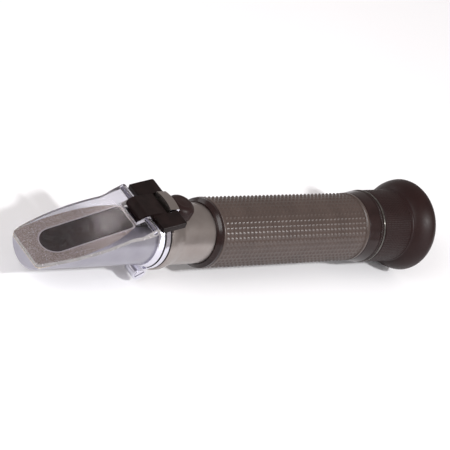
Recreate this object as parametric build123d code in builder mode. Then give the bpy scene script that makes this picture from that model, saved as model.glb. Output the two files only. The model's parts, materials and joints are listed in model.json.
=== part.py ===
"""Hand-held optical refractometer for brewing and winemaking.

The optical axis is X: the sampling prism points to -X and the eyepiece to +X.
The hinged daylight plate and the calibration screw are on top (+Z).
The origin is on the optical axis, halfway along the instrument.
All dimensions are in millimetres.
"""
from build123d import *
from math import cos, radians, sin, sqrt, tan
import os

os.makedirs("parts", exist_ok=True)

# ---------------------------------------------------------------- driving dimensions
overall_length = 207.0
eyecup_radius = 19.05
grip_radius = 13.9
barrel_radius = 11.8
head_radius = 11.0
collar_radius = 13.4
focus_radius = 14.9

front_x = -overall_length / 2
rear_x = overall_length / 2
contact_gap = 0.03          # between turned pieces that are assembled and stay put
running_gap = 0.05          # radial clearance of pieces that turn or slide
overcut = 1.0               # a cut runs this far past the face it opens

# sloped prism face and the daylight plate over it
slope_angle = 20.0
head_tip_x = front_x + 0.5
seat_front_x = -60.9
slope_rear_z = 9.53         # height of the sloped face at seat_front_x
seat_z = 9.2                # flat on top of the head that carries the hinge block
window_half_width = 5.8
window_rear_s = 5.1         # s runs down the slope from the hinge
window_front_s = 42.0
window_corner = 1.5
gasket_width = 0.55
gasket_depth = 1.0
prism_bottom_z = -7.2
prism_exit_x = -60.0
bed_thickness = 1.1

# hinge of the daylight plate
hinge_x = -57.5
hinge_z = 12.9
pin_radius = 0.9
pin_half_length = 12.3
knuckle_radius = 1.9
tongue_radius = 2.5
tongue_tilt = 7.0
tongue_half_width = 5.2
ear_inner_y = 5.5
ear_outer_y = 12.6          # the ears flare outwards towards the pin
ear_neck_y = 11.9
ear_neck_s = 10.5
plate_drop = 0.85           # the plate's middle plane lies this far below the pin
plate_thickness = 2.0
plate_bevel = 0.4
plate_rear_s = 4.3
plate_corner = 1.4

# hinge block: a T-shaped moulding whose arms rise towards the rear
block_tilt = 14.5
arm_front_x = -54.7
arm_rear_x = -44.1
arm_rear_z = 17.6
arm_half_width = 12.6
arm_thickness = 2.4
notch_x = -48.9
notch_half_width = 5.4

# clamping hoop round the neck, with a raised bridge over the heel of the hinge block
neck_radius = 10.7
hoop_front_x = -49.9
hoop_rear_x = -45.2
hoop_front_radius = 11.7
hoop_rear_radius = 12.9
hoop_groove_x = -47.1
hoop_groove = 0.5
hoop_split = 3.0
bridge_front_x = -47.6
bridge_rear_x = -43.0
bridge_radius = 18.3
bridge_half_width = 5.1
heel_half_width = 3.2
heel_bottom_z = 13.6
heel_top_z = 15.4
boss_x = -46.4
boss_z = -13.4
boss_radius = 3.0
boss_outer_y = 7.3
clamp_screw_radius = 1.25
clamp_head_radius = 2.1

# barrel
collar_front_x = -44.4
collar_rear_x = -41.9
cone_rear_x = -36.0
tube_rear_x = 64.0
tube_bore = 10.6
spigot_radius = 9.6
spigot_rear_x = -41.4

# calibration screw and the objective that it shifts
calibration_x = -36.9
spot_face_z = 11.4
spot_face_radius = 6.0
bush_radius = 3.2
bush_stem_radius = 2.5
bush_top_z = 13.8
screw_radius = 1.5
screw_bottom_z = 8.95
screw_top_z = 13.3
cap_radius = 5.6
cap_top_z = 16.8
cap_bottom_z = 11.5
carrier_front_x = -39.6
carrier_rear_x = -34.4
carrier_radius = 9.8
objective_radius = 7.5

# grip and trim rings
trim_front_x = -20.1
grip_front_x = -17.5
grip_rear_x = 65.8
grip_inner_radius = barrel_radius + contact_gap
knurl_radius = 13.7
grip_rim_width = 1.2
cone_trim_rear_x = 71.9

# eyepiece
housing_front_x = 58.0
stub_rear_x = 86.0
stub_radius = 10.7
stop_rear_x = 87.6
focus_front_x = 72.0
knurl_band_rear_x = 74.0
focus_sleeve_radius = 13.2
cell_bore = 9.5
cell_front_x = 75.5
cell_rear_x = 90.0
ocular_radius = 8.2
focus_travel = 2.5          # each way
focus_turn = 150.0          # degrees each way for that travel
focus_pin_x = 79.0
focus_pin_radius = 0.9
cup_front_x = 74.6
cup_flare_x = 91.0
cup_lip_x = 99.4            # widest place of the flare


# ---------------------------------------------------------------- shared geometry
slope_run = cos(radians(slope_angle))
slope_rise = sin(radians(slope_angle))
plate_x = hinge_x + plate_drop * slope_rise
plate_z = hinge_z - plate_drop * slope_run
plate_front_s = (plate_x - front_x - (plate_thickness / 2 - plate_bevel) * slope_rise) / slope_run
slope_plane = Plane(
    origin=(seat_front_x, 0, slope_rear_z),
    x_dir=(-slope_run, 0, -slope_rise),
    z_dir=(-slope_rise, 0, slope_run),
)
plate_plane = Plane(
    origin=(plate_x, 0, plate_z),
    x_dir=(-slope_run, 0, -slope_rise),
    z_dir=(-slope_rise, 0, slope_run),
)
# distance along the slope from the origin of plate_plane to the origin of slope_plane
slope_offset_s = (plate_x - seat_front_x) * slope_run + (plate_z - slope_rear_z) * slope_rise


def slope_z(x):
    """Height of the sloped prism face at x."""
    return slope_rear_z + (x - seat_front_x) * tan(radians(slope_angle))


def block_top_z(x):
    """Height of the hinge block's tilted top at x."""
    return arm_rear_z + (x - arm_rear_x) * tan(radians(block_tilt))


def ring_section(x0, x1, r0, r1):
    """Rectangle in the current sketch, from x0 to x1 and from radius r0 to r1."""
    with Locations(((x0 + x1) / 2, (r0 + r1) / 2)):
        Rectangle(x1 - x0, r1 - r0)


def lens_arc(edge_x, apex_x, radius):
    """Spherical lens face in the current line, from the edge at radius to the apex on the axis."""
    bulge = apex_x - edge_x
    sphere = (radius**2 + bulge**2) / (2 * abs(bulge))
    middle = sqrt(sphere**2 - radius**2 / 4) - (sphere - abs(bulge))
    middle_x = edge_x + middle * bulge / abs(bulge)
    return ThreePointArc((edge_x, radius), (middle_x, radius / 2), (apex_x, 0))


def window_face(margin):
    """Stadium with a round front and a squarer rear, in the plane of the slope."""
    half = window_half_width + margin
    rear = window_rear_s - slope_offset_s - margin
    centre = window_front_s - slope_offset_s - window_half_width
    with BuildSketch() as face:
        with Locations(((rear + centre) / 2, 0)):
            Rectangle(centre - rear, 2 * half)
        fillet(face.vertices().group_by(Axis.X)[0], radius=window_corner)
        with Locations((centre, 0)):
            Circle(half)
    return face.sketch


def finish(part, name):
    """Label a finished piece and write it."""
    part.part.label = name
    export_step(part.part, f"parts/{name}.step")


def prism_block(margin, bottom_z, top_z):
    """The space under the window, between two heights, ahead of the exit face."""
    with BuildPart() as block:
        with BuildSketch(slope_plane):
            add(window_face(margin))
        extrude(amount=-3 * head_radius)
        with BuildSketch(Plane.XZ):
            with BuildLine():
                Polyline(
                    (front_x, bottom_z),
                    (prism_exit_x + margin, bottom_z),
                    (prism_exit_x + margin, top_z),
                    (front_x, top_z),
                    close=True,
                )
            make_face()
        extrude(amount=head_radius, both=True, mode=Mode.INTERSECT)
    return block.part


# ---------------------------------------------------------------- prism head
bed_bottom_z = prism_bottom_z - bed_thickness
prism_pocket = prism_block(contact_gap, bed_bottom_z - contact_gap, head_radius)
neck_front_x = hoop_front_x - 0.3
seat_rear_x = hoop_front_x - contact_gap
neck_bevel = 1.3
spigot_bevel = 0.5
tip_round = 0.8
light_bore = 6.0
seal_groove_x = -43.2
seal_groove_width = 1.0
seal_groove_radius = 8.8

with BuildPart() as prism_head:
    with BuildSketch(Plane.XZ):
        with BuildLine():
            Polyline(
                (head_tip_x, 0),
                (head_tip_x, head_radius - tip_round),
                (head_tip_x + tip_round, head_radius),
                (neck_front_x - neck_bevel, head_radius),
                (neck_front_x, neck_radius),
                (collar_front_x - contact_gap, neck_radius),
                (collar_front_x - contact_gap, spigot_radius),
                (spigot_rear_x - spigot_bevel, spigot_radius),
                (spigot_rear_x, spigot_radius - spigot_bevel),
                (spigot_rear_x, 0),
                close=True,
            )
        make_face()
    revolve(axis=Axis.X)
    # the round body is cut obliquely for the prism face, then flat for the hinge block
    with BuildSketch(Plane.XZ):
        with BuildLine():
            Polyline(
                (front_x - overcut, slope_z(front_x - overcut)),
                (seat_front_x, slope_rear_z),
                (seat_front_x, seat_z),
                (seat_rear_x, seat_z),
                (seat_rear_x, 2 * head_radius),
                (front_x - overcut, 2 * head_radius),
                close=True,
            )
        make_face()
    extrude(amount=2 * head_radius, both=True, mode=Mode.SUBTRACT)
    add(prism_pocket, mode=Mode.SUBTRACT)
    with BuildSketch(slope_plane):
        add(window_face(gasket_width))
    extrude(amount=-gasket_depth, mode=Mode.SUBTRACT)
    with BuildSketch(Plane.YZ.offset(prism_exit_x - overcut)):
        Circle(light_bore)
    extrude(amount=spigot_rear_x - prism_exit_x + 2 * overcut, mode=Mode.SUBTRACT)
    with BuildSketch(Plane.XZ):
        ring_section(
            seal_groove_x, seal_groove_x + seal_groove_width, seal_groove_radius, head_radius
        )
    revolve(axis=Axis.X, mode=Mode.SUBTRACT)
finish(prism_head, "prism_head")

with BuildPart() as main_prism:
    add(prism_block(0, prism_bottom_z, head_radius))
finish(main_prism, "main_prism")

with BuildPart() as prism_bed:
    add(prism_block(0, bed_bottom_z, prism_bottom_z))
finish(prism_bed, "prism_bed")

with BuildPart() as prism_gasket:
    with BuildSketch(slope_plane):
        add(window_face(gasket_width - contact_gap))
    extrude(amount=-gasket_depth)
    with BuildSketch(slope_plane):
        add(window_face(contact_gap))
    extrude(amount=-gasket_depth, mode=Mode.SUBTRACT)
finish(prism_gasket, "prism_gasket")

seal_radius = 0.4
with BuildPart() as head_seal:
    with BuildSketch(Plane.XZ):
        with Locations((seal_groove_x + seal_groove_width / 2, seal_groove_radius + seal_radius)):
            Circle(seal_radius)
    revolve(axis=Axis.X)
finish(head_seal, "head_seal")

# ---------------------------------------------------------------- daylight plate and its pin
plate_bulge_s = 27.5
plate_bulge_y = 12.3
plate_shoulder_s = 47.7
plate_shoulder_y = 9.4
plate_front_y = 8.7
ear_straight_s = 3.6
knuckle_ramp_s = 6.5        # the plate rises to the top of the knuckles over this length

# foot of the ramp, on top of the plate
ramp_x = plate_x - knuckle_ramp_s * slope_run - plate_thickness / 2 * slope_rise
ramp_z = plate_z - knuckle_ramp_s * slope_rise + plate_thickness / 2 * slope_run

with BuildPart() as daylight_plate:
    with BuildSketch(plate_plane) as plate_outline:
        with BuildLine():
            Line((0, -ear_outer_y), (ear_straight_s, -ear_outer_y))
            Spline(
                (ear_straight_s, -ear_outer_y),
                (ear_neck_s, -ear_neck_y),
                tangents=((1, 0), (1, 0)),
            )
            ThreePointArc(
                (ear_neck_s, -ear_neck_y),
                (plate_bulge_s, -plate_bulge_y),
                (plate_shoulder_s, -plate_shoulder_y),
            )
            Line((plate_shoulder_s, -plate_shoulder_y), (plate_front_s, -plate_front_y))
            Line((plate_front_s, -plate_front_y), (plate_front_s, plate_front_y))
            Line((plate_front_s, plate_front_y), (plate_shoulder_s, plate_shoulder_y))
            ThreePointArc(
                (plate_shoulder_s, plate_shoulder_y),
                (plate_bulge_s, plate_bulge_y),
                (ear_neck_s, ear_neck_y),
            )
            Spline(
                (ear_neck_s, ear_neck_y),
                (ear_straight_s, ear_outer_y),
                tangents=((-1, 0), (-1, 0)),
            )
            Line((ear_straight_s, ear_outer_y), (0, ear_outer_y))
            Line((0, ear_outer_y), (0, -ear_outer_y))
        make_face()
    extrude(amount=plate_thickness / 2, both=True)
    # the corners of the front edge are rounded
    front_corners = (
        daylight_plate.edges()
        .filter_by(lambda edge: abs(edge.length - plate_thickness) < 0.01)
        .sort_by(Axis.X)[:2]
    )
    fillet(front_corners, radius=plate_corner)
    # two knuckles turn about the pin, one each side of the tongue, and ramp down to the plate
    with BuildSketch(Plane.XZ.offset(ear_outer_y)):
        with Locations((hinge_x, hinge_z)):
            Circle(knuckle_radius)
        with BuildLine():
            Polyline(
                (hinge_x, hinge_z),
                (hinge_x - knuckle_radius * slope_rise, hinge_z + knuckle_radius * slope_run),
                (ramp_x, ramp_z),
                close=True,
            )
        make_face()
    extrude(amount=-2 * ear_outer_y)
    with BuildSketch(plate_plane):
        Rectangle(2 * plate_rear_s, 2 * ear_inner_y)
    extrude(amount=2 * knuckle_radius, both=True, mode=Mode.SUBTRACT)
    with BuildSketch(plate_plane.offset(plate_thickness / 2)):
        with Locations(((plate_rear_s + knuckle_ramp_s) / 2, 0)):
            Rectangle(knuckle_ramp_s - plate_rear_s + overcut, 2 * ear_inner_y)
    extrude(amount=knuckle_radius, mode=Mode.SUBTRACT)
    with BuildSketch(Plane.XZ.offset(ear_outer_y + overcut)):
        with Locations((hinge_x, hinge_z)):
            Circle(pin_radius + running_gap)
    extrude(amount=-2 * (ear_outer_y + overcut), mode=Mode.SUBTRACT)
    chamfer(daylight_plate.faces().sort_by(Axis.X)[0].edges().sort_by(Axis.Z)[-1], plate_bevel)
finish(daylight_plate, "daylight_plate")

pin_bevel = 0.15
with BuildPart() as hinge_pin:
    with BuildSketch(Plane.XZ.offset(pin_half_length)):
        with Locations((hinge_x, hinge_z)):
            Circle(pin_radius)
    extrude(amount=-2 * pin_half_length)
    chamfer(hinge_pin.edges().filter_by(GeomType.CIRCLE), pin_bevel)
finish(hinge_pin, "hinge_pin")

# ---------------------------------------------------------------- hinge block
block_plane = Plane(
    origin=(arm_rear_x, 0, arm_rear_z),
    x_dir=(cos(radians(block_tilt)), 0, sin(radians(block_tilt))),
    z_dir=(0, -1, 0),
)
arm_length = (arm_rear_x - arm_front_x) / cos(radians(block_tilt))
heel_rear_x = bridge_rear_x - 0.1
heel_overlap = 0.5
arm_corner = 0.9
block_bevel = 0.35
hoop_clearance = 0.1

with BuildPart() as hinge_block:
    # tongue and middle of the block, standing on the flat of the head
    with BuildSketch(Plane.XZ):
        with BuildLine():
            Polyline(
                (hinge_x, seat_z),
                (notch_x, seat_z),
                (notch_x, block_top_z(notch_x)),
                (
                    hinge_x - tongue_radius * sin(radians(tongue_tilt)),
                    hinge_z + tongue_radius * cos(radians(tongue_tilt)),
                ),
                (hinge_x, hinge_z),
                close=True,
            )
        make_face()
        with Locations((hinge_x, hinge_z)):
            Circle(tongue_radius)
    extrude(amount=tongue_half_width, both=True)
    # the block bridges the front of the hoop
    with BuildSketch(Plane.YZ.offset(hoop_front_x - hoop_clearance)):
        Circle(hoop_rear_radius + hoop_clearance)
    extrude(amount=notch_x - hoop_front_x + overcut, mode=Mode.SUBTRACT)
    # cross arms
    with BuildSketch(block_plane):
        with Locations((-arm_length / 2, -arm_thickness / 2)):
            Rectangle(arm_length, arm_thickness)
    extrude(amount=arm_half_width, both=True)
    rear_corners = (
        hinge_block.edges()
        .filter_by(lambda edge: abs(edge.length - arm_thickness) < 0.01)
        .filter_by(lambda edge: abs(edge.center().Y) > arm_half_width - arm_corner)
        .sort_by(Axis.X)[-2:]
    )
    fillet(rear_corners, radius=arm_corner)
    # notch for the bridge of the hoop
    with BuildSketch(Plane.XY.offset(hoop_rear_radius)):
        with Locations(((notch_x + arm_rear_x + overcut) / 2, 0)):
            Rectangle(arm_rear_x - notch_x + overcut, 2 * notch_half_width)
    extrude(amount=arm_rear_z, mode=Mode.SUBTRACT)
    arm_top_edges = (
        hinge_block.faces()
        .filter_by(lambda face: face.normal_at().dot(block_plane.y_dir) > 0.999)
        .edges()
        .filter_by(lambda edge: abs(edge.center().Y) > notch_half_width + 0.1)
    )
    chamfer(arm_top_edges, block_bevel)
    # heel that the bridge holds down
    with BuildSketch(Plane.XZ):
        with Locations(((notch_x - heel_overlap + heel_rear_x) / 2, (heel_bottom_z + heel_top_z) / 2)):
            Rectangle(heel_rear_x - notch_x + heel_overlap, heel_top_z - heel_bottom_z)
    extrude(amount=heel_half_width, both=True)
    with BuildSketch(Plane.XZ.offset(tongue_half_width + overcut)):
        with Locations((hinge_x, hinge_z)):
            Circle(pin_radius)
    extrude(amount=-2 * (tongue_half_width + overcut), mode=Mode.SUBTRACT)
finish(hinge_block, "hinge_block")

# ---------------------------------------------------------------- clamping hoop and its screw
hoop_bore = neck_radius + contact_gap
web_half_width = 1.5
web_outer = (8.9, -9.3)
web_inset = 0.6
head_recess = 1.2
hoop_bevel = 0.3
groove_depth = 1.1
collar_clearance = 0.2
slot_clearance = 0.1

with BuildPart() as clamp_hoop:
    with BuildSketch(Plane.XZ):
        with BuildLine():
            Polyline(
                (hoop_front_x, hoop_bore),
                (hoop_front_x, hoop_front_radius - hoop_bevel),
                (hoop_front_x + hoop_bevel, hoop_front_radius),
                (hoop_groove_x - hoop_groove, hoop_rear_radius - 2 * hoop_bevel),
                (hoop_groove_x, hoop_rear_radius - groove_depth),
                (hoop_groove_x + hoop_groove / 5, hoop_rear_radius - hoop_bevel),
                (hoop_groove_x + hoop_groove, hoop_rear_radius),
                (hoop_rear_x, hoop_rear_radius),
                (hoop_rear_x, hoop_bore),
                close=True,
            )
        make_face()
    revolve(axis=Axis.X)
    # bridge: a foot on the hoop and an arch that reaches back over the collar
    with BuildSketch(Plane.YZ.offset(bridge_front_x)):
        with Locations((0, bridge_radius / 2)):
            Rectangle(2 * bridge_half_width, bridge_radius)
        Circle(bridge_radius, mode=Mode.INTERSECT)
        Circle(hoop_bore, mode=Mode.SUBTRACT)
    extrude(amount=hoop_rear_x - bridge_front_x)
    with BuildSketch(Plane.YZ.offset(hoop_rear_x)):
        with Locations((0, bridge_radius / 2)):
            Rectangle(2 * bridge_half_width, bridge_radius)
        Circle(bridge_radius, mode=Mode.INTERSECT)
        Circle(collar_radius + collar_clearance, mode=Mode.SUBTRACT)
    extrude(amount=bridge_rear_x - hoop_rear_x)
    with BuildSketch(Plane.YZ.offset(bridge_front_x - overcut)):
        with Locations((0, (heel_bottom_z + heel_top_z) / 2)):
            Rectangle(2 * (heel_half_width + slot_clearance), heel_top_z - heel_bottom_z + slot_clearance)
    extrude(amount=bridge_rear_x - bridge_front_x + 2 * overcut, mode=Mode.SUBTRACT)
    # two bosses meet under the neck, drawn together by the clamp screw
    with BuildSketch(Plane.XZ.offset(boss_outer_y)):
        with Locations((boss_x, boss_z)):
            Circle(boss_radius)
    extrude(amount=-2 * boss_outer_y)
    with BuildSketch(Plane.YZ.offset(boss_x - web_half_width)):
        with BuildLine():
            Polyline(
                (-boss_outer_y + web_inset, boss_z),
                (boss_outer_y - web_inset, boss_z),
                web_outer,
                (-web_outer[0], web_outer[1]),
                close=True,
            )
        make_face()
    extrude(amount=2 * web_half_width)
    # the bosses stay clear of the neck and of the collar behind the hoop
    with BuildSketch(Plane.YZ.offset(hoop_front_x)):
        Circle(hoop_bore)
    extrude(amount=collar_rear_x - hoop_front_x, mode=Mode.SUBTRACT)
    with BuildSketch(Plane.YZ.offset(collar_front_x - collar_clearance)):
        Circle(collar_radius + collar_clearance)
    extrude(amount=collar_rear_x - collar_front_x, mode=Mode.SUBTRACT)
    with BuildSketch(Plane.XY.offset(boss_z - boss_radius - overcut)):
        with Locations((boss_x, 0)):
            Rectangle(4 * boss_radius, hoop_split)
    extrude(amount=head_radius, mode=Mode.SUBTRACT)
    with BuildSketch(Plane.XZ.offset(boss_outer_y + overcut)):
        with Locations((boss_x, boss_z)):
            Circle(clamp_screw_radius + contact_gap)
    extrude(amount=-2 * (boss_outer_y + overcut), mode=Mode.SUBTRACT)
    with BuildSketch(Plane.XZ.offset(boss_outer_y + 2 * overcut)):
        with Locations((boss_x, boss_z)):
            Circle(clamp_head_radius + contact_gap)
    extrude(amount=-head_recess - 2 * overcut, mode=Mode.SUBTRACT)
finish(clamp_hoop, "clamp_hoop")

head_proud = 0.3
screw_end_gap = 0.4
clamp_slot_width = 0.6
clamp_slot_depth = 0.7
with BuildPart() as clamp_screw:
    with BuildSketch(Plane.XZ.offset(boss_outer_y + head_proud)):
        with Locations((boss_x, boss_z)):
            Circle(clamp_head_radius)
    extrude(amount=-head_recess - head_proud)
    with BuildSketch(Plane.XZ.offset(boss_outer_y - head_recess)):
        with Locations((boss_x, boss_z)):
            Circle(clamp_screw_radius)
    extrude(amount=-2 * boss_outer_y + head_recess + screw_end_gap)
    with BuildSketch(Plane.XZ.offset(boss_outer_y + head_proud)):
        with Locations(Location((boss_x, boss_z), 35)):
            Rectangle(3 * clamp_head_radius, clamp_slot_width)
    extrude(amount=-clamp_slot_depth, mode=Mode.SUBTRACT)
finish(clamp_screw, "clamp_screw")

# ---------------------------------------------------------------- barrel
tube_step_x = spigot_rear_x + 0.2
collar_bevel = 0.5

with BuildPart() as main_tube:
    with BuildSketch(Plane.XZ):
        with BuildLine():
            Polyline(
                (collar_front_x, spigot_radius + contact_gap),
                (collar_front_x, collar_radius - collar_bevel),
                (collar_front_x + collar_bevel, collar_radius),
                (collar_rear_x, collar_radius),
                (cone_rear_x, barrel_radius),
                (tube_rear_x, barrel_radius),
                (tube_rear_x, tube_bore),
                (tube_step_x, tube_bore),
                (tube_step_x, spigot_radius + contact_gap),
                close=True,
            )
        make_face()
    revolve(axis=Axis.X)
    # spot face and hole for the calibration bush
    with BuildSketch(Plane.XY.offset(spot_face_z)):
        with Locations((calibration_x, 0)):
            Circle(spot_face_radius)
    extrude(amount=collar_radius, mode=Mode.SUBTRACT)
    with BuildSketch(Plane.XY.offset(tube_bore / 2)):
        with Locations((calibration_x, 0)):
            Circle(bush_stem_radius + contact_gap)
    extrude(amount=collar_radius, mode=Mode.SUBTRACT)
finish(main_tube, "main_tube")

# ---------------------------------------------------------------- calibration screw
bush_stem_bottom_z = 10.35
screw_slot = 0.5

with BuildPart() as calibration_bush:
    with BuildSketch(Plane.XY.offset(spot_face_z)):
        with Locations((calibration_x, 0)):
            Circle(bush_radius)
    extrude(amount=bush_top_z - spot_face_z)
    with BuildSketch(Plane.XY.offset(bush_stem_bottom_z)):
        with Locations((calibration_x, 0)):
            Circle(bush_stem_radius)
    extrude(amount=spot_face_z - bush_stem_bottom_z)
    with BuildSketch(Plane.XY.offset(bush_stem_bottom_z)):
        with Locations((calibration_x, 0)):
            Circle(screw_radius + running_gap)
    extrude(amount=head_radius, mode=Mode.SUBTRACT)
finish(calibration_bush, "calibration_bush")

with BuildPart() as calibration_screw:
    with BuildSketch(Plane.XY.offset(screw_bottom_z)):
        with Locations((calibration_x, 0)):
            Circle(screw_radius)
    extrude(amount=screw_top_z - screw_bottom_z)
    with BuildSketch(Plane.XY.offset(screw_top_z - screw_slot)):
        with Locations(Location((calibration_x, 0), 30)):
            Rectangle(3 * screw_radius, screw_slot)
    extrude(amount=overcut, mode=Mode.SUBTRACT)
finish(calibration_screw, "calibration_screw")

cap_bore = bush_radius + running_gap
cap_bore_top_z = 15.0
cap_crown_radius = 2.6
cap_crown_drop = 0.15
cap_shoulder = 0.8
cap_side_drop = 2.3
cap_plane = Plane(origin=(calibration_x, 0, 0), x_dir=(1, 0, 0), z_dir=(0, -1, 0))
with BuildPart() as calibration_cap:
    with BuildSketch(cap_plane):
        with BuildLine():
            Line((0, cap_top_z), (cap_crown_radius, cap_top_z - cap_crown_drop))
            ThreePointArc(
                (cap_crown_radius, cap_top_z - cap_crown_drop),
                (cap_radius - cap_shoulder, cap_top_z - cap_shoulder),
                (cap_radius, cap_top_z - cap_side_drop),
            )
            Line((cap_radius, cap_top_z - cap_side_drop), (cap_radius, cap_bottom_z))
            Line((cap_radius, cap_bottom_z), (cap_bore, cap_bottom_z))
            Line((cap_bore, cap_bottom_z), (cap_bore, cap_bore_top_z))
            Line((cap_bore, cap_bore_top_z), (0, cap_bore_top_z))
            Line((0, cap_bore_top_z), (0, cap_top_z))
        make_face()
    revolve(axis=Axis((calibration_x, 0, 0), (0, 0, 1)))
finish(calibration_cap, "calibration_cap")

# ---------------------------------------------------------------- objective and its carrier
carrier_lip_x = -38.9
carrier_lip_bore = 6.5
spring_pocket_radius = 2.0
spring_pocket_z = -8.6
tip_clearance = 0.1

with BuildPart() as objective_carrier:
    with BuildSketch(Plane.XZ):
        ring_section(carrier_front_x, carrier_lip_x, carrier_lip_bore, carrier_radius)
        ring_section(carrier_lip_x, carrier_rear_x, objective_radius, carrier_radius)
    revolve(axis=Axis.X)
    # cup for the tip of the calibration screw, and pocket for the return spring
    with BuildSketch(Plane.XY.offset(screw_bottom_z - contact_gap)):
        with Locations((calibration_x, 0)):
            Circle(screw_radius + tip_clearance)
    extrude(amount=carrier_radius, mode=Mode.SUBTRACT)
    with BuildSketch(Plane.XY.offset(spring_pocket_z)):
        with Locations((calibration_x, 0)):
            Circle(spring_pocket_radius)
    extrude(amount=-carrier_radius, mode=Mode.SUBTRACT)
finish(objective_carrier, "objective_carrier")

lens_radius = objective_radius - contact_gap
crown_edge_x = -38.7
crown_rear_x = -37.6
crown_bulge = 0.65
inner_bulge = 1.1
flint_rear_x = -35.7
retainer_bore = 6.4
retainer_inset = 0.1

with BuildPart() as crown_lens:
    with BuildSketch(Plane.XZ):
        with BuildLine():
            add(lens_arc(crown_edge_x, crown_edge_x - crown_bulge, lens_radius))
            Line((crown_edge_x - crown_bulge, 0), (crown_rear_x + inner_bulge, 0))
            add(lens_arc(crown_rear_x, crown_rear_x + inner_bulge, lens_radius))
            Line((crown_rear_x, lens_radius), (crown_edge_x, lens_radius))
        make_face()
    revolve(axis=Axis.X)
finish(crown_lens, "crown_lens")

flint_edge_x = crown_rear_x + contact_gap
with BuildPart() as flint_lens:
    with BuildSketch(Plane.XZ):
        with BuildLine():
            add(lens_arc(flint_edge_x, flint_edge_x + inner_bulge, lens_radius))
            Line((flint_edge_x + inner_bulge, 0), (flint_rear_x, 0))
            Line((flint_rear_x, 0), (flint_rear_x, lens_radius))
            Line((flint_rear_x, lens_radius), (flint_edge_x, lens_radius))
        make_face()
    revolve(axis=Axis.X)
finish(flint_lens, "flint_lens")

with BuildPart() as objective_retainer:
    with BuildSketch(Plane.XZ):
        ring_section(
            flint_rear_x + contact_gap, carrier_rear_x - retainer_inset, retainer_bore, lens_radius
        )
    revolve(axis=Axis.X)
finish(objective_retainer, "objective_retainer")

# the carrier slides up and down between two fixed rings
stop_ring_bore = 6.6
stop_ring_width = 1.25
stop_clearance = 0.15
inner_radius = tube_bore - contact_gap

with BuildPart() as front_stop_ring:
    with BuildSketch(Plane.XZ):
        ring_section(
            carrier_front_x - stop_clearance - stop_ring_width,
            carrier_front_x - stop_clearance,
            stop_ring_bore,
            inner_radius,
        )
    revolve(axis=Axis.X)
finish(front_stop_ring, "front_stop_ring")

with BuildPart() as rear_stop_ring:
    with BuildSketch(Plane.XZ):
        ring_section(
            carrier_rear_x + stop_clearance,
            carrier_rear_x + stop_clearance + stop_ring_width,
            stop_ring_bore,
            inner_radius,
        )
    revolve(axis=Axis.X)
finish(rear_stop_ring, "rear_stop_ring")

spring_wire_radius = 0.18
spring_coil_radius = 1.4
spring_bottom_z = -10.2
spring_height = spring_pocket_z - spring_bottom_z - 2 * spring_wire_radius - 0.05
spring_turns = 2.5

with BuildPart() as return_spring:
    with BuildLine() as coil:
        Helix(
            pitch=spring_height / spring_turns,
            height=spring_height,
            radius=spring_coil_radius,
            center=(calibration_x, 0, spring_bottom_z + spring_wire_radius),
        )
    with BuildSketch(Plane(origin=coil.line @ 0, z_dir=coil.line % 0)):
        Circle(spring_wire_radius)
    sweep(path=coil.line, is_frenet=True)
finish(return_spring, "return_spring")

# ---------------------------------------------------------------- tube fittings
light_stop_width = 1.2
light_stop_bore = 6.0

with BuildPart() as light_stop:
    with BuildSketch(Plane.XZ):
        ring_section(0, light_stop_width, light_stop_bore, inner_radius)
    revolve(axis=Axis.X)
finish(light_stop, "light_stop")

reticle_front_x = 50.0
reticle_lip = 0.8
reticle_radius = 8.0
reticle_thickness = 1.5
reticle_bore = 7.2
holder_length = 4.0

with BuildPart() as reticle_holder:
    with BuildSketch(Plane.XZ):
        ring_section(reticle_front_x, reticle_front_x + reticle_lip, reticle_bore, inner_radius)
        ring_section(
            reticle_front_x + reticle_lip,
            reticle_front_x + holder_length,
            reticle_radius + contact_gap,
            inner_radius,
        )
    revolve(axis=Axis.X)
finish(reticle_holder, "reticle_holder")

reticle_x = reticle_front_x + reticle_lip + contact_gap
with BuildPart() as reticle:
    with BuildSketch(Plane.YZ.offset(reticle_x)):
        Circle(reticle_radius)
    extrude(amount=reticle_thickness)
finish(reticle, "reticle")

with BuildPart() as reticle_retainer:
    with BuildSketch(Plane.XZ):
        ring_section(
            reticle_x + reticle_thickness + contact_gap,
            reticle_front_x + holder_length - retainer_inset,
            reticle_bore,
            reticle_radius,
        )
    revolve(axis=Axis.X)
finish(reticle_retainer, "reticle_retainer")

# ---------------------------------------------------------------- grip and trim rings
trim_nose = 0.45            # height of the front trim ring's edge above the barrel
trim_bevel = 0.5
trim_band = 1.2
trim_inset = 0.2            # the trim rings lie this far inside the rim of the grip
ring_gap = 0.1              # between turned rings that butt together

with BuildPart() as front_trim_ring:
    with BuildSketch(Plane.XZ):
        with BuildLine():
            Polyline(
                (trim_front_x, grip_inner_radius),
                (trim_front_x, barrel_radius + trim_nose),
                (trim_front_x + trim_bevel, barrel_radius + 2 * trim_nose),
                (grip_front_x - trim_band, grip_radius - trim_inset),
                (grip_front_x - ring_gap, grip_radius - trim_inset),
                (grip_front_x - ring_gap, grip_inner_radius),
                close=True,
            )
        make_face()
    revolve(axis=Axis.X)
finish(front_trim_ring, "front_trim_ring")

with BuildPart() as grip_sleeve:
    with BuildSketch(Plane.XZ):
        ring_section(grip_front_x, grip_front_x + grip_rim_width, grip_inner_radius, grip_radius)
        ring_section(
            grip_front_x + grip_rim_width,
            grip_rear_x - grip_rim_width,
            grip_inner_radius,
            knurl_radius,
        )
        ring_section(grip_rear_x - grip_rim_width, grip_rear_x, grip_inner_radius, grip_radius)
    revolve(axis=Axis.X)
finish(grip_sleeve, "grip_sleeve")

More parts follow.
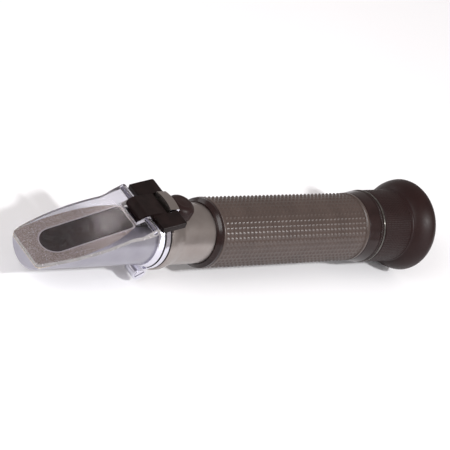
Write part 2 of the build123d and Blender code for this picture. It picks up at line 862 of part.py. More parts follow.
stub_fit = stub_radius + contact_gap
with BuildPart() as rear_trim_ring:
    with BuildSketch(Plane.XZ):
        with BuildLine():
            Polyline(
                (tube_rear_x + ring_gap, stub_fit),
                (tube_rear_x + ring_gap, barrel_radius - ring_gap),
                (grip_rear_x + ring_gap, barrel_radius - ring_gap),
                (grip_rear_x + ring_gap, grip_radius - trim_inset),
                (grip_rear_x + trim_bevel, grip_radius),
                (cone_trim_rear_x - trim_bevel, focus_radius - trim_inset),
                (cone_trim_rear_x, focus_radius - trim_bevel),
                (cone_trim_rear_x, stub_fit),
                close=True,
            )
        make_face()
    revolve(axis=Axis.X)
finish(rear_trim_ring, "rear_trim_ring")

# ---------------------------------------------------------------- eyepiece housing
housing_bore = 8.6
bore_step_x = 72.5
stop_seat_radius = 10.2
seat_gap = 0.05             # between faces that butt together inside the eyepiece
slot_half_length = focus_travel + focus_pin_radius + running_gap
slot_half_width = focus_pin_radius + running_gap

with BuildPart() as eyepiece_housing:
    with BuildSketch(Plane.XZ):
        with BuildLine():
            Polyline(
                (housing_front_x, housing_bore),
                (housing_front_x, inner_radius),
                (tube_rear_x + seat_gap, inner_radius),
                (tube_rear_x + seat_gap, stub_radius),
                (stub_rear_x + seat_gap, stub_radius),
                (stub_rear_x + seat_gap, stop_seat_radius),
                (stop_rear_x, stop_seat_radius),
                (stop_rear_x, cell_bore),
                (bore_step_x, cell_bore),
                (bore_step_x, housing_bore),
                close=True,
            )
        make_face()
    revolve(axis=Axis.X)
    # straight slot that keys the ocular cell
    with BuildSketch(Plane.XY.offset(cell_bore - overcut)):
        with Locations((focus_pin_x, 0)):
            SlotOverall(2 * slot_half_length, 2 * slot_half_width)
    extrude(amount=stub_radius, mode=Mode.SUBTRACT)
finish(eyepiece_housing, "eyepiece_housing")

stop_radius = 12.6
with BuildPart() as focus_stop_ring:
    with BuildSketch(Plane.XZ):
        ring_section(
            stub_rear_x + ring_gap, stop_rear_x, stop_seat_radius + contact_gap, stop_radius
        )
    revolve(axis=Axis.X)
finish(focus_stop_ring, "focus_stop_ring")

# ---------------------------------------------------------------- focus ring
cam_radius = 12.0
cam_half_width = focus_pin_radius + 0.15
cam_steps = 81
band_depth = 0.3            # the knurled band lies this far inside the bright edge

with BuildPart() as focus_ring:
    with BuildSketch(Plane.XZ):
        with BuildLine():
            Polyline(
                (focus_front_x, stub_radius + running_gap),
                (focus_front_x, focus_radius - 2 * band_depth),
                (focus_front_x + band_depth, focus_radius - band_depth),
                (knurl_band_rear_x - 2 * band_depth, focus_radius - band_depth),
                (knurl_band_rear_x - band_depth, focus_radius),
                (knurl_band_rear_x + band_depth, focus_radius),
                (cup_front_x - ring_gap, focus_radius - band_depth),
                (cup_front_x - ring_gap, focus_sleeve_radius),
                (stub_rear_x, focus_sleeve_radius),
                (stub_rear_x, stub_radius + running_gap),
                close=True,
            )
        make_face()
    revolve(axis=Axis.X)
    # cam groove: a helix that moves the pin along X as the ring turns
    groove_cutters = []
    for step in range(cam_steps):
        turn = focus_turn * (2 * step / (cam_steps - 1) - 1)
        groove_plane = Plane(
            origin=(focus_pin_x + focus_travel * turn / focus_turn, 0, 0),
            x_dir=(1, 0, 0),
            z_dir=(0, sin(radians(turn)), cos(radians(turn))),
        )
        with BuildSketch(groove_plane.offset(stub_radius - overcut), mode=Mode.PRIVATE) as section:
            Circle(cam_half_width)
        cutter = extrude(
            section.sketch, amount=cam_radius - stub_radius + overcut, mode=Mode.PRIVATE
        )
        groove_cutters.append(cutter)
    add(groove_cutters, mode=Mode.SUBTRACT)
finish(focus_ring, "focus_ring")

# ---------------------------------------------------------------- ocular
cell_radius = cell_bore - running_gap
cell_lip = 1.0
cell_lip_bore = 7.4
pin_seat_radius = 8.45
pin_end_gap = 0.3

with BuildPart() as ocular_cell:
    with BuildSketch(Plane.XZ):
        ring_section(cell_front_x, cell_front_x + cell_lip, cell_lip_bore, cell_radius)
        ring_section(
            cell_front_x + cell_lip, cell_rear_x, ocular_radius + contact_gap, cell_radius
        )
    revolve(axis=Axis.X)
    with BuildSketch(Plane.XY.offset(ocular_radius - overcut)):
        with Locations((focus_pin_x, 0)):
            Circle(focus_pin_radius + contact_gap)
    extrude(amount=cell_radius, mode=Mode.SUBTRACT)
finish(ocular_cell, "ocular_cell")

with BuildPart() as focus_pin:
    with BuildSketch(Plane.XY.offset(pin_seat_radius)):
        with Locations((focus_pin_x, 0)):
            Circle(focus_pin_radius)
    extrude(amount=cam_radius - pin_end_gap - pin_seat_radius)
finish(focus_pin, "focus_pin")

field_lens_x = cell_front_x + cell_lip + contact_gap
field_lens_edge = 1.6
field_lens_bulge = 2.0
with BuildPart() as field_lens:
    field_edge_x = field_lens_x + field_lens_edge
    with BuildSketch(Plane.XZ):
        with BuildLine():
            Line((field_lens_x, 0), (field_lens_x, ocular_radius))
            Line((field_lens_x, ocular_radius), (field_edge_x, ocular_radius))
            add(lens_arc(field_edge_x, field_edge_x + field_lens_bulge, ocular_radius))
            Line((field_edge_x + field_lens_bulge, 0), (field_lens_x, 0))
        make_face()
    revolve(axis=Axis.X)
finish(field_lens, "field_lens")

lens_rim = 0.4              # a lens face bulges this far before the spacer meets it
spacer_front_x = field_lens_x + field_lens_edge + lens_rim
spacer_rear_x = 84.0
with BuildPart() as lens_spacer:
    with BuildSketch(Plane.XZ):
        ring_section(spacer_front_x, spacer_rear_x, cell_lip_bore, ocular_radius)
    revolve(axis=Axis.X)
finish(lens_spacer, "lens_spacer")

eye_lens_x = spacer_rear_x + lens_rim
eye_lens_edge = 1.4
eye_lens_bulge = 1.5
with BuildPart() as eye_lens:
    eye_rear_x = eye_lens_x + eye_lens_edge
    with BuildSketch(Plane.XZ):
        with BuildLine():
            add(lens_arc(eye_lens_x, eye_lens_x - eye_lens_bulge, ocular_radius))
            Line((eye_lens_x - eye_lens_bulge, 0), (eye_rear_x + eye_lens_bulge, 0))
            add(lens_arc(eye_rear_x, eye_rear_x + eye_lens_bulge, ocular_radius))
            Line((eye_rear_x, ocular_radius), (eye_lens_x, ocular_radius))
        make_face()
    revolve(axis=Axis.X)
finish(eye_lens, "eye_lens")

with BuildPart() as ocular_retainer:
    with BuildSketch(Plane.XZ):
        ring_section(
            eye_rear_x + lens_rim, cell_rear_x - lens_rim, cell_lip_bore, ocular_radius
        )
    revolve(axis=Axis.X)
finish(ocular_retainer, "ocular_retainer")

# ---------------------------------------------------------------- rubber eyecup
cup_web_x = 88.0
cup_web_radius = 10.4
cup_mouth_radius = 15.2
cup_rim_radius = 16.4
cup_edge = 0.4
flare_root = (92.0, 15.5)
flare_middle = (95.2, 17.9)
lip_crown = (102.0, 18.1)
throat_wide = (98.0, 14.3)
throat_narrow = (92.8, 10.9)
throat_front_x = 89.7

with BuildPart() as eyecup:
    with BuildSketch(Plane.XZ):
        with BuildLine():
            Polyline(
                (rear_x, cup_rim_radius),
                (rear_x, cup_mouth_radius),
                throat_wide,
                throat_narrow,
                (throat_front_x, cup_web_radius),
                (cup_web_x, cup_web_radius),
                (cup_web_x, focus_sleeve_radius + contact_gap),
                (cup_front_x, focus_sleeve_radius + contact_gap),
                (cup_front_x, focus_radius - cup_edge),
                (cup_front_x + cup_edge, focus_radius),
                (cup_flare_x, focus_radius),
                flare_root,
            )
            ThreePointArc(flare_root, flare_middle, (cup_lip_x, eyecup_radius))
            ThreePointArc((cup_lip_x, eyecup_radius), lip_crown, (rear_x, cup_rim_radius))
        make_face()
    revolve(axis=Axis.X)
finish(eyecup, "eyecup")
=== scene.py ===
"""Hand-held refractometer: materials, knurled rubber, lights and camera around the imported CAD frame.

Places are in the frame of the CAD model: the optical axis is X, the prism points to -X and the hinge is
on top (+Z). Lengths are in metres, except in the outlines of the turned pieces, which are in millimetres.
"""

import json
from math import atan2, cos, pi, radians, sin

import bmesh
import bpy
from mathutils import Matrix, Vector


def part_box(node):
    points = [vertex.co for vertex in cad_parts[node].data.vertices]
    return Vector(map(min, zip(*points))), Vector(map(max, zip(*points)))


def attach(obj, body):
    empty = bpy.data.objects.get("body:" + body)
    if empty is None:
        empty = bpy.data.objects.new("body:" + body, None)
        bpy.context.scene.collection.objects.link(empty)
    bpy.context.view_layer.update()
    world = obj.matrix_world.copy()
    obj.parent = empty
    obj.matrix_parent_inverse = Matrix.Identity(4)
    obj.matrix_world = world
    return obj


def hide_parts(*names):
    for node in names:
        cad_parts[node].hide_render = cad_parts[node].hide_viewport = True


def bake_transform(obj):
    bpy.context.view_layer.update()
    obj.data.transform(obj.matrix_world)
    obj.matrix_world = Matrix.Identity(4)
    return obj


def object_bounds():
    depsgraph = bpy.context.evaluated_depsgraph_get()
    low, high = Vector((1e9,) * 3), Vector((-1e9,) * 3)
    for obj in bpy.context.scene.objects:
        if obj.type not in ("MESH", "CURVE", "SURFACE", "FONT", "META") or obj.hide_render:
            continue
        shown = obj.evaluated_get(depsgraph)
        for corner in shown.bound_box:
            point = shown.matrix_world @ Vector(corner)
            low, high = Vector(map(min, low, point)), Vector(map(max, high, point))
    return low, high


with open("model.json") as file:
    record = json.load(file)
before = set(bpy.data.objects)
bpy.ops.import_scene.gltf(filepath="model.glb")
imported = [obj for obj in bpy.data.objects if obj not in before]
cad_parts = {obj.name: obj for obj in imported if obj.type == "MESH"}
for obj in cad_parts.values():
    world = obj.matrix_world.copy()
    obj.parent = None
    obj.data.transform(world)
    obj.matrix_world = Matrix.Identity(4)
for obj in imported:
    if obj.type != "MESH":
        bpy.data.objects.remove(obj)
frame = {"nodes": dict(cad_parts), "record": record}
cad_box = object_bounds()
nodes = frame["nodes"]
bodies = frame["record"]["behaviour"]["bodies"]
body_of_node = {node: body for body, members in bodies.items() for node in members}
slot_of_node = {row["node"]: row["material_slot"] for row in frame["record"]["subparts"]}
mm = 0.001
scene = bpy.context.scene


# ---------------------------------------------------------------- material helpers
class Shader:
    """A node material that is built up from procedural textures in the frame's coordinates."""

    def __init__(self, name, **constants):
        """constants are sockets of the Principled shader, as in specular_ior_level=0.2."""
        self.material = bpy.data.materials.new(name)
        self.material.use_nodes = True
        self.nodes = self.material.node_tree.nodes
        self.links = self.material.node_tree.links
        self.principled = self.nodes["Principled BSDF"]
        self.place = self.nodes.new("ShaderNodeTexCoord").outputs["Object"]
        self.normal = None
        for constant, value in constants.items():
            socket = constant.replace("_", " ").title().replace("Ior", "IOR")
            self.principled.inputs[socket].default_value = value

    def noise(self, scale, detail, stretch=(1, 1, 1), roughness=0.55):
        """Noise of about 1/scale metres, with more and finer layers as detail grows.

        A stretch above 1 along an axis packs the noise closer along it, which makes fine lines across it.
        """
        mapping = self.nodes.new("ShaderNodeMapping")
        mapping.inputs["Scale"].default_value = stretch
        texture = self.nodes.new("ShaderNodeTexNoise")
        texture.inputs["Scale"].default_value = scale
        texture.inputs["Detail"].default_value = detail
        texture.inputs["Roughness"].default_value = roughness
        self.links.new(self.place, mapping.inputs["Vector"])
        self.links.new(mapping.outputs["Vector"], texture.inputs["Vector"])
        return texture.outputs["Fac"]

    def colour(self, factor, *stops):
        """Base colour by factor: stops are (position, colour), with linear colours."""
        ramp = self.nodes.new("ShaderNodeValToRGB")
        elements = ramp.color_ramp.elements
        while len(elements) < len(stops):
            elements.new(0.5)
        for element, (position, colour) in zip(elements, stops):
            element.position = position
            element.color = (*colour, 1)
        self.links.new(factor, ramp.inputs["Fac"])
        self.links.new(ramp.outputs["Color"], self.principled.inputs["Base Color"])

    def rough(self, factor, low, high):
        """Roughness from low to high as the noise goes from 0.3 to 0.7."""
        spread = self.nodes.new("ShaderNodeMapRange")
        spread.inputs["From Min"].default_value = 0.3
        spread.inputs["From Max"].default_value = 0.7
        spread.inputs["To Min"].default_value = low
        spread.inputs["To Max"].default_value = high
        self.links.new(factor, spread.inputs["Value"])
        self.links.new(spread.outputs["Result"], self.principled.inputs["Roughness"])

    def bump(self, factor, depth):
        """Relief of this depth in metres, on top of any earlier relief."""
        bump = self.nodes.new("ShaderNodeBump")
        bump.inputs["Distance"].default_value = depth
        self.links.new(factor, bump.inputs["Height"])
        if self.normal:
            self.links.new(self.normal, bump.inputs["Normal"])
        self.normal = bump.outputs["Normal"]
        self.links.new(self.normal, self.principled.inputs["Normal"])


def grey(value, warmth=0.0):
    """A linear grey, warmer as warmth grows."""
    return (value * (1 + warmth), value, value * (1 - warmth))


# ---------------------------------------------------------------- metals
def satin_metal(name, dark, light):
    """Metal turned to a satin finish, with fine lines round X and a faint grain."""
    made = Shader(name, metallic=1.0)
    cloud = made.noise(90, 4)
    made.colour(cloud, (0.35, dark), (0.65, light))
    made.rough(cloud, 0.27, 0.33)
    made.bump(made.noise(60, 3, stretch=(60, 1, 1)), 0.012 * mm)
    made.bump(made.noise(9000, 2), 0.006 * mm)
    return made.material


def satin_aluminium():
    return satin_metal("satin_aluminium", dark=(0.29, 0.255, 0.24), light=(0.34, 0.305, 0.29))


def head_satin_painted_lighter():
    """The prism head's copy of the satin metal, painted cooler and lighter than the tube's: painted light for
    the brighter, bluer sheen on the head.
    """
    return satin_metal("head_satin_painted_lighter", dark=(0.31, 0.30, 0.345), light=(0.36, 0.35, 0.395))


def blasted_face_with_painted_glints():
    """The slope round the prism, blasted to a fine grain, with its brightest specks painted white as painted
    glints for the sparkle.
    """
    made = Shader("blasted_face_with_painted_glints", metallic=0.2)
    grain = made.noise(1700, 3, roughness=0.7)
    made.colour(
        grain,
        (0.3, (0.32, 0.26, 0.20)),
        (0.48, (0.62, 0.52, 0.42)),
        (0.6, (0.84, 0.73, 0.62)),
        # painted glints: the brightest specks of the grain go white
        (0.68, (1.0, 1.0, 1.0)),
    )
    made.rough(grain, 0.5, 0.72)
    made.bump(grain, 0.05 * mm)
    return made.material


def polished_chrome():
    made = Shader("polished_chrome", metallic=1.0)
    made.colour(made.noise(120, 3), (0.4, (0.64, 0.63, 0.70)), (0.6, (0.72, 0.71, 0.78)))
    made.rough(made.noise(700, 5), 0.10, 0.22)
    made.bump(made.noise(60, 2, stretch=(80, 1, 1)), 0.004 * mm)
    return made.material


def black_anodised():
    made = Shader("black_anodised", metallic=1.0)
    made.colour(made.noise(400, 4), (0.35, grey(0.035, 0.04)), (0.65, grey(0.05, 0.04)))
    made.rough(made.noise(900, 3), 0.4, 0.52)
    made.bump(made.noise(70, 2, stretch=(60, 1, 1)), 0.006 * mm)
    return made.material


def brass():
    made = Shader("brass", metallic=1.0)
    made.colour(made.noise(260, 5), (0.35, (0.50, 0.36, 0.16)), (0.65, (0.66, 0.49, 0.24)))
    made.rough(made.noise(900, 4), 0.22, 0.38)
    made.bump(made.noise(60, 2, stretch=(1, 1, 60)), 0.006 * mm)
    return made.material


def steel():
    made = Shader("steel", metallic=1.0)
    made.colour(made.noise(400, 4), (0.35, grey(0.48)), (0.65, grey(0.60)))
    made.rough(made.noise(1200, 4), 0.2, 0.36)
    made.bump(made.noise(3000, 2), 0.004 * mm)
    return made.material


def worn_edge():
    """Enamel polished through to the metal by use."""
    made = Shader("worn_edge", metallic=0.7)
    made.colour(made.noise(900, 4), (0.35, grey(0.05, 0.1)), (0.65, grey(0.11, 0.08)))
    made.rough(made.noise(1200, 3), 0.18, 0.26)
    return made.material


# ---------------------------------------------------------------- glass and acrylic
def clear_acrylic():
    made = Shader(
        "clear_acrylic", transmission_weight=1.0, ior=1.4, coat_weight=0.1, coat_roughness=0.12
    )
    made.colour(made.noise(60, 2), (0.4, (0.63, 0.62, 0.68)), (0.6, (0.67, 0.66, 0.72)))
    made.rough(made.noise(300, 4), 0.06, 0.1)
    made.bump(made.noise(160, 2), 0.004 * mm)
    return made.material


def acrylic_edge():
    """The sawn and polished sides of the plate, which glow with the light that they collect."""
    made = Shader("acrylic_edge", transmission_weight=0.55, ior=1.45)
    made.colour(made.noise(500, 3), (0.35, (0.46, 0.43, 0.43)), (0.65, (0.60, 0.57, 0.57)))
    made.rough(made.noise(900, 3), 0.12, 0.3)
    return made.material


def prism_glass():
    """The prism seen from above: its body looks dark, because its lower faces reflect the black bed."""
    made = Shader("prism_glass", specular_ior_level=0.35)
    made.colour(made.noise(120, 3), (0.4, (0.026, 0.011, 0.008)), (0.6, (0.034, 0.015, 0.011)))
    made.rough(made.noise(260, 3), 0.22, 0.32)
    made.bump(made.noise(200, 2), 0.006 * mm)
    return made.material


def optical_glass():
    made = Shader("optical_glass", transmission_weight=1.0, ior=1.52, coat_weight=0.3)
    made.colour(made.noise(80, 2), (0.4, (0.86, 0.92, 0.90)), (0.6, (0.90, 0.94, 0.96)))
    made.rough(made.noise(200, 3), 0.0, 0.03)
    return made.material


# ---------------------------------------------------------------- rubber, plastic and enamel
def seal_silicone():
    made = Shader("seal_silicone", specular_ior_level=0.6)
    made.colour(made.noise(300, 4), (0.35, (0.96, 0.88, 0.80)), (0.65, (1.0, 0.94, 0.88)))
    made.rough(made.noise(900, 3), 0.35, 0.5)
    made.bump(made.noise(3000, 2), 0.01 * mm)
    return made.material


def black_rubber():
    made = Shader("black_rubber", specular_ior_level=0.2)
    made.colour(made.noise(140, 6), (0.3, (0.011, 0.003, 0.0028)), (0.7, (0.015, 0.005, 0.0046)))
    made.rough(made.noise(900, 4), 0.38, 0.48)
    made.bump(made.noise(4200, 3), 0.012 * mm)
    return made.material


def grip_rubber():
    made = Shader("grip_rubber", specular_ior_level=0.45)
    made.colour(made.noise(110, 6), (0.3, (0.048, 0.032, 0.027)), (0.7, (0.066, 0.045, 0.038)))
    made.rough(made.noise(1000, 4), 0.27, 0.34)
    made.bump(made.noise(4600, 3), 0.004 * mm)
    return made.material


def black_plastic():
    made = Shader("black_plastic", specular_ior_level=0.12)
    made.colour(made.noise(240, 5), (0.35, (0.0057, 0.003, 0.00285)), (0.65, (0.0114, 0.006, 0.0057)))
    made.rough(made.noise(1400, 4), 0.34, 0.46)
    made.bump(made.noise(5200, 3), 0.012 * mm)
    return made.material


def black_enamel():
    made = Shader("black_enamel", specular_ior_level=0.3)
    made.colour(made.noise(200, 4), (0.35, (0.011, 0.004, 0.0036)), (0.65, (0.016, 0.0065, 0.006)))
    made.rough(made.noise(500, 3), 0.17, 0.24)
    made.bump(made.noise(80, 2, stretch=(40, 1, 1)), 0.006 * mm)
    return made.material


# ---------------------------------------------------------------- painting
slot_makers = (
    satin_aluminium,
    polished_chrome,
    black_plastic,
    clear_acrylic,
    optical_glass,
    seal_silicone,
    black_rubber,
    grip_rubber,
    black_enamel,
    black_anodised,
    brass,
    steel,
)
finishes = {maker.__name__: maker() for maker in slot_makers}


def paint(piece, material):
    piece.data.materials.clear()
    piece.data.materials.append(material)


def paint_where(piece, material, test):
    """One more material, on the faces whose middle and normal pass the test."""
    piece.data.materials.append(material)
    index = len(piece.data.materials) - 1
    for face in piece.data.polygons:
        if test(face.center, face.normal):
            face.material_index = index


for node, cad_piece in nodes.items():
    paint(cad_piece, finishes[slot_of_node[node]])
paint(nodes["main_prism"], prism_glass())


# ---------------------------------------------------------------- pieces with softened edges
def stand_for(piece, node):
    """The piece replaces a CAD node and rides on its body."""
    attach(piece, body_of_node[node])
    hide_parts(node)
    return piece


def set_smooth(piece, angle):
    """Smooth shading that keeps edges sharper than angle degrees."""
    mesh = piece.data
    mesh.polygons.foreach_set("use_smooth", [True] * len(mesh.polygons))
    mesh.set_sharp_from_angle(angle=radians(angle))


def apply_modifiers(piece):
    graph = bpy.context.evaluated_depsgraph_get()
    made = bpy.data.meshes.new_from_object(piece.evaluated_get(graph))
    piece.modifiers.clear()
    piece.data = made


def join_flat_faces(mesh):
    """Weld the seams and join the triangles that share a plane, so that only real edges are left."""
    seam = 0.0005 * mm
    same_plane = radians(0.3)
    shape = bmesh.new()
    shape.from_mesh(mesh)
    bmesh.ops.remove_doubles(shape, verts=shape.verts, dist=seam)
    bmesh.ops.dissolve_limit(
        shape, angle_limit=same_plane, verts=shape.verts, edges=shape.edges, delimit={"NORMAL"}
    )
    shape.to_mesh(mesh)
    shape.free()
    if mesh.has_custom_normals:
        mesh.attributes.remove(mesh.attributes["custom_normal"])


def softened(node, width):
    """The CAD node's own shape, with its sharp edges rounded over this width."""
    mesh = nodes[node].data.copy()
    join_flat_faces(mesh)
    piece = bpy.data.objects.new(node + "_shell", mesh)
    scene.collection.objects.link(piece)
    bevel = piece.modifiers.new("edges", "BEVEL")
    bevel.width = width
    bevel.segments = 2
    bevel.limit_method = "ANGLE"
    bevel.angle_limit = radians(28)
    apply_modifiers(piece)
    set_smooth(piece, angle=32)
    weigh = piece.modifiers.new("weigh", "WEIGHTED_NORMAL")
    weigh.keep_sharp = True
    apply_modifiers(piece)
    return stand_for(piece, node)


# ---------------------------------------------------------------- turned and knurled pieces
# The outlines below are in millimetres. The shape of a ridge lists (fraction of its pitch, height), with
# height from 0 in the grooves to 1 on the crests.
stud = ((0.0, 0.0), (0.12, 0.0), (0.42, 1.0), (0.58, 1.0), (0.88, 0.0))
fine_stud = ((0.0, 0.0), (0.25, 0.6), (0.5, 1.0), (0.75, 0.6))
no_ridge = ((0.0, 1.0),)


def crests(count, shape):
    """Angles and heights once round, for a number of ridges."""
    return [(2 * pi * (ridge + part) / count, height) for ridge in range(count) for part, height in shape]


def plain(points):
    """Stations without ridges, through points (x, radius)."""
    return [(x, radius, 0.0) for x, radius in points]


def rows(start, end, radius, lift, count, shape):
    """Stations for a number of rows of knurls from start to end."""
    pitch = (end - start) / count
    return [
        (start + (row + part) * pitch, radius, lift * height)
        for row in range(count)
        for part, height in shape
    ]


def arc(centre, radius, start, end, steps):
    """Points (x, radius) on an arc, from start to end radians."""
    angles = [start + (end - start) * step / steps for step in range(steps + 1)]
    return [(centre[0] + radius * cos(angle), centre[1] + radius * sin(angle)) for angle in angles]


def bend(start, middle, end, steps):
    """Points (x, radius) on the arc through three points, without the first one."""
    first, through, last = (Vector(point) for point in (start, middle, end))
    side_a = through - first
    side_b = last - first
    twice_area = 2 * (side_a.x * side_b.y - side_a.y * side_b.x)
    centre = first + Vector((
        (side_b.y * side_a.length_squared - side_a.y * side_b.length_squared) / twice_area,
        (side_a.x * side_b.length_squared - side_b.x * side_a.length_squared) / twice_area,
    ))
    begin = atan2(first.y - centre.y, first.x - centre.x)
    sweep = atan2(last.y - centre.y, last.x - centre.x) - begin
    sweep = (sweep + pi) % (2 * pi) - pi
    return arc(centre, (first - centre).length, begin, begin + sweep, steps)[1:]


def turned(name, stations, ridges, material):
    """A closed ring about X. A station is (x, radius, lift): lift raises the ridges above the radius."""
    vertices = []
    for x, radius, lift in stations:
        for angle, height in ridges:
            reach = (radius + lift * height) * mm
            vertices.append((x * mm, reach * sin(angle), reach * cos(angle)))
    around = len(ridges)
    along = len(stations)
    faces = []
    for station in range(along):
        here = station * around
        there = (station + 1) % along * around
        for ridge in range(around):
            beside = (ridge + 1) % around
            faces.append((here + ridge, here + beside, there + beside, there + ridge))
    mesh = bpy.data.meshes.new(name)
    mesh.from_pydata(vertices, [], faces)
    mesh.validate()
    piece = bpy.data.objects.new(name, mesh)
    scene.collection.objects.link(piece)
    paint(piece, material)
    set_smooth(piece, angle=40)
    return piece


def make_grip():
    """Rubber sleeve covered with rows of small pointed studs, with a plain rim at each end."""
    low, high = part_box("grip_sleeve")
    front = low.x / mm
    rear = high.x / mm
    outer = high.z / mm
    bore = 11.83
    rim = 1.3
    edge = 0.35
    edge_steps = 4
    groove = outer - 0.5
    pitch = 2.19
    lead = 0.15
    first = front + rim + 2 * lead
    last = rear - rim - 2 * lead
    count = round((last - first) / pitch)
    around = round(2 * pi * outer / pitch)
    stations = plain([(front, bore)])
    stations += plain(arc((front + edge, outer - edge), edge, pi, pi / 2, edge_steps))
    stations += plain([(front + rim - lead, outer), (front + rim + lead, groove)])
    stations += rows(first, last, groove, outer - groove, count, stud)
    stations += plain([(rear - rim - lead, groove), (rear - rim + lead, outer)])
    stations += plain(arc((rear - edge, outer - edge), edge, pi / 2, 0, edge_steps))
    stations += plain([(rear, bore)])
    grip = turned("grip_knurled", stations, crests(around, stud), finishes["grip_rubber"])
    stand_for(grip, "grip_sleeve")


def make_eyecup():
    """Rubber eyecup: a finely knurled sleeve, then a smooth flare with a rounded lip."""
    low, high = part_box("eyecup")
    front = low.x / mm
    rear = high.x / mm
    bore = 13.23
    sleeve = 14.9
    chamfer = 0.4
    sight_hole = 10.4
    web_front = 88.0
    web_rear = 89.7

    knurl_start = front + 2 * chamfer
    knurl_end = 90.4
    pitch = 0.92
    groove = sleeve - 0.2
    count = round((knurl_end - knurl_start) / pitch)
    around = round(2 * pi * sleeve / pitch)

    collar = [(knurl_end + 0.1, groove), (knurl_end + 0.3, sleeve), (knurl_end + 0.7, sleeve)]
    neck = (knurl_end + 1.25, sleeve + 0.2)
    flare_root = (92.0, 15.5)
    flare_middle = (95.2, 17.85)
    lip = (rear - 4.1, high.z / mm)
    lip_round = (rear - 1.5, lip[1] - 0.95)
    mouth_outside = (rear, 16.4)
    mouth_inside = (rear, 15.2)
    bowl_middle = (98.0, 14.0)
    bowl_floor = (92.8, 10.9)

    stations = plain([(web_front, bore), (front, bore), (front, sleeve - chamfer), (front + chamfer, sleeve)])
    stations += rows(knurl_start, knurl_end, groove, sleeve - groove, count, fine_stud)
    stations += plain(collar)
    stations += plain(bend(collar[-1], neck, flare_root, 3))
    stations += plain(bend(flare_root, flare_middle, lip, 10))
    stations += plain(bend(lip, lip_round, mouth_outside, 10))
    stations += plain([mouth_inside])
    stations += plain(bend(mouth_inside, bowl_middle, bowl_floor, 8))
    stations += plain([(web_rear, sight_hole), (web_front, sight_hole)])
    cup = turned("eyecup_moulded", stations, crests(around, fine_stud), finishes["black_rubber"])
    stand_for(cup, "eyecup")


def make_focus_band():
    """Fine straight knurl on the front of the focus ring, and the worn bright edge behind it."""
    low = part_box("focus_ring")[0]
    front = low.x / mm + 0.35
    rear = front + 1.05
    groove = 14.58
    sunk = groove - 0.1
    tooth_height = 0.22
    tooth_start = front + 0.12
    tooth_end = front + 0.95
    teeth = 120
    stations = plain([(front, sunk), (front, groove)])
    stations += [(x, groove, tooth_height) for x in (tooth_start, tooth_end)]
    stations += plain([(rear, groove), (rear, sunk)])
    band = turned("focus_knurl", stations, crests(teeth, fine_stud), finishes["black_enamel"])
    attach(band, "focus")

    edge_width = 0.9
    edge_foot = 14.8
    edge_crown = 15.02
    facets = 160
    crown = (rear + edge_width / 2, edge_crown)
    edge_rear = (rear + edge_width, edge_foot)
    outline = plain([(rear, sunk), (rear, edge_foot)])
    outline += plain(bend((rear, edge_foot), crown, edge_rear, 6))
    outline += plain([(edge_rear[0], sunk)])
    bright = turned("focus_edge", outline, crests(facets, no_ridge), worn_edge())
    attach(bright, "focus")


def make_spring():
    """The return spring under the objective carrier, as a still copy of the CAD spring in its place."""
    spring = bpy.data.objects.new("return_coil", nodes["return_spring"].data.copy())
    scene.collection.objects.link(spring)
    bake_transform(spring)
    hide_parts("return_spring")


make_grip()
make_eyecup()
make_focus_band()
make_spring()
softened("hinge_block", 0.18 * mm)
plate = softened("daylight_plate", 0.22 * mm)
hoop = softened("clamp_hoop", 0.12 * mm)
softened("main_tube", 0.12 * mm)
softened("clamp_screw", 0.08 * mm)
head = softened("prism_head", 0.12 * mm)

# ---------------------------------------------------------------- faces with a finish of their own, and faces with painted light and shade
slope = radians(20)
slope_normal = Vector((-sin(slope), 0, cos(slope)))
bridge_z = 14.0 * mm
groove_x = -47.1 * mm
groove_half_width = 0.2 * mm
groove_foot_z = -8.0 * mm


def on_slope(centre, normal):
    """The face lies in the slope that holds the prism."""
    parallel = 0.999
    return normal.dot(slope_normal) > parallel


def across_slope(centre, normal):
    """The face is a side of the plate, which lies along the slope."""
    nearly_square = 0.3
    return abs(normal.dot(slope_normal)) < nearly_square


def on_bridge(centre, normal):
    """The face is on the hoop's raised bridge over the hinge block."""
    return centre.z > bridge_z


def in_shaded_hoop_groove(centre, normal):
    """The face is in the groove round the hoop, which is painted dark as painted shade."""
    return abs(centre.x - groove_x) < groove_half_width and groove_foot_z < centre.z < bridge_z


# The head is painted with a cooler, lighter copy of the satin metal: painted light.
paint(head, head_satin_painted_lighter())
paint_where(head, blasted_face_with_painted_glints(), on_slope)
paint_where(plate, acrylic_edge(), across_slope)
paint_where(hoop, finishes["satin_aluminium"], on_bridge)
# Painted shade: the faces in the hoop's groove take the dark anodised metal.
paint_where(hoop, finishes["black_anodised"], in_shaded_hoop_groove)


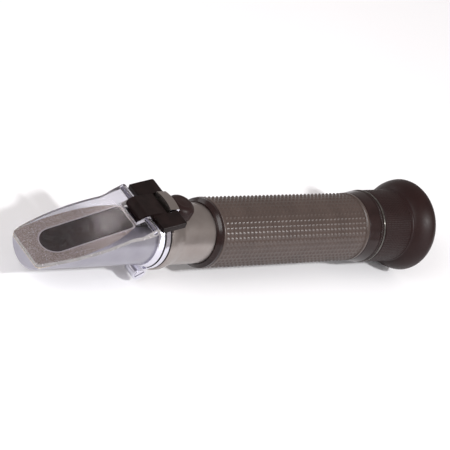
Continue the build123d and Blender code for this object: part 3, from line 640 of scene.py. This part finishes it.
# ---------------------------------------------------------------- floor, lights and camera
def make_floor():
    """A wide pale floor that the part lies on."""
    reach = 4.0
    z = cad_box[0][2]
    corners = [(-reach, -reach, z), (reach, -reach, z), (reach, reach, z), (-reach, reach, z)]
    mesh = bpy.data.meshes.new("floor")
    mesh.from_pydata(corners, [], [(0, 1, 2, 3)])
    floor = bpy.data.objects.new("floor", mesh)
    scene.collection.objects.link(floor)
    made = Shader("pale_floor", specular_ior_level=0.2)
    made.colour(made.noise(6, 2), (0.3, (0.90, 0.90, 0.92)), (0.7, (0.92, 0.92, 0.94)))
    made.rough(made.noise(20, 2), 0.7, 0.8)
    paint(floor, made.material)


def softbox(name, direction, distance, size, power, tint=(1, 1, 1)):
    """A round area light that faces the object from a direction."""
    data = bpy.data.lights.new(name, "AREA")
    data.shape = "DISK"
    data.size = size
    data.energy = power
    data.color = tint
    light = bpy.data.objects.new(name, data)
    scene.collection.objects.link(light)
    place = Vector(direction).normalized() * distance
    turn = (-place).to_track_quat("-Z", "Y").to_matrix().to_4x4()
    light.matrix_world = Matrix.Translation(place) @ turn


def make_world():
    """A warm, even light from all round."""
    world = bpy.data.worlds.new("studio")
    world.use_nodes = True
    background = world.node_tree.nodes["Background"]
    background.inputs["Color"].default_value = (1.0, 0.93, 0.90, 1)
    background.inputs["Strength"].default_value = 0.48
    scene.world = world


def make_camera():
    """The camera looks down from the prism end and the -Y side, rolled so that the part lies across."""
    place = Vector((-0.67088, -0.47968, 0.47144))
    right = Vector((0.70938, -0.53101, 0.46347))
    up = Vector((0.02770, 0.67806, 0.73448))
    back = right.cross(up).normalized()
    data = bpy.data.cameras.new("camera")
    data.sensor_width = 36.0
    data.lens = 193.9
    data.clip_start = 0.01
    camera = bpy.data.objects.new("camera", data)
    scene.collection.objects.link(camera)
    camera.matrix_world = Matrix.Translation(place) @ Matrix((right, up, back)).transposed().to_4x4()
    scene.camera = camera


make_floor()
softbox("key", (0.19, -0.66, 0.72), distance=1.1, size=0.09, power=8.0)
softbox("front_fill", (-0.86, -0.1, 0.5), distance=1.5, size=1.0, power=15.0)
softbox("left_fill", (-0.2, 0.95, 0.35), distance=1.6, size=0.7, power=2.0)
softbox("front_card", (0.2, -0.95, 0.25), distance=1.1, size=0.8, power=2.5, tint=(0.90, 0.94, 1.0))
softbox(
    "window_glow", (0.117, 0.536, 0.836), distance=1.086, size=0.015, power=0.010, tint=(1.0, 0.90, 0.91)
)
make_world()
make_camera()
scene.view_settings.view_transform = "Standard"
